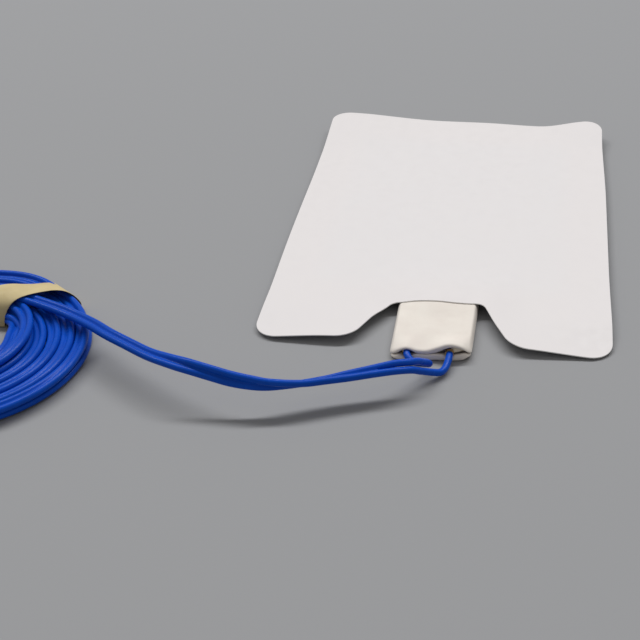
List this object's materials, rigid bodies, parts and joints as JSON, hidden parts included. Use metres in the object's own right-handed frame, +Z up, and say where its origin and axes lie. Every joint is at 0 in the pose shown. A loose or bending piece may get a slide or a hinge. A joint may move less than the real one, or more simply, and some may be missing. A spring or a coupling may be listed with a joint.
{
  "type": "electrosurgical return electrode",
  "caption": "Adhesive foam return electrode under its release liner, with a coiled, taped twin lead and a flat plug.",
  "frame": {"origin": "middle of the pad's footprint on the table, without the free lead, its coil and plug", "axes": "+X across the pad, +Y along it and away from the sleeve that holds the lead, +Z up out of the liner"},
  "size_m": [0.289, 0.2923, 0.0143],
  "materials": {
    "liner": "matte coated paper",
    "foam": "soft closed-cell foam",
    "foil": "bright foil on film",
    "gel": "clear tacky hydrogel",
    "brass": "bright stamped",
    "conductor": "tinned strands",
    "lead_jacket": "satin flexible vinyl",
    "tape": "matte crepe masking tape",
    "plug_shell": "fine satin moulding",
    "plug_insert": "satin moulding"
  },
  "bodies": {
    "root": {"release_liner": "liner", "foam_backing": "foam", "tab_cover": "foam", "foil_left": "foil", "foil_right": "foil", "gel_left": "gel", "gel_right": "gel", "crimp_left": "brass", "crimp_right": "brass", "conductor_left": "conductor", "conductor_right": "conductor", "lead_left": "lead_jacket", "lead_right": "lead_jacket", "cord_coil": "lead_jacket", "coil_tape": "tape", "plug_lead_outer": "lead_jacket", "plug_lead_inner": "lead_jacket", "plug_strain_relief": "plug_insert", "plug_housing_lower": "plug_shell", "plug_housing_upper": "plug_shell", "plug_tongue": "plug_insert", "contact_left": "brass", "contact_right": "brass"}
  },
  "joints": []
}
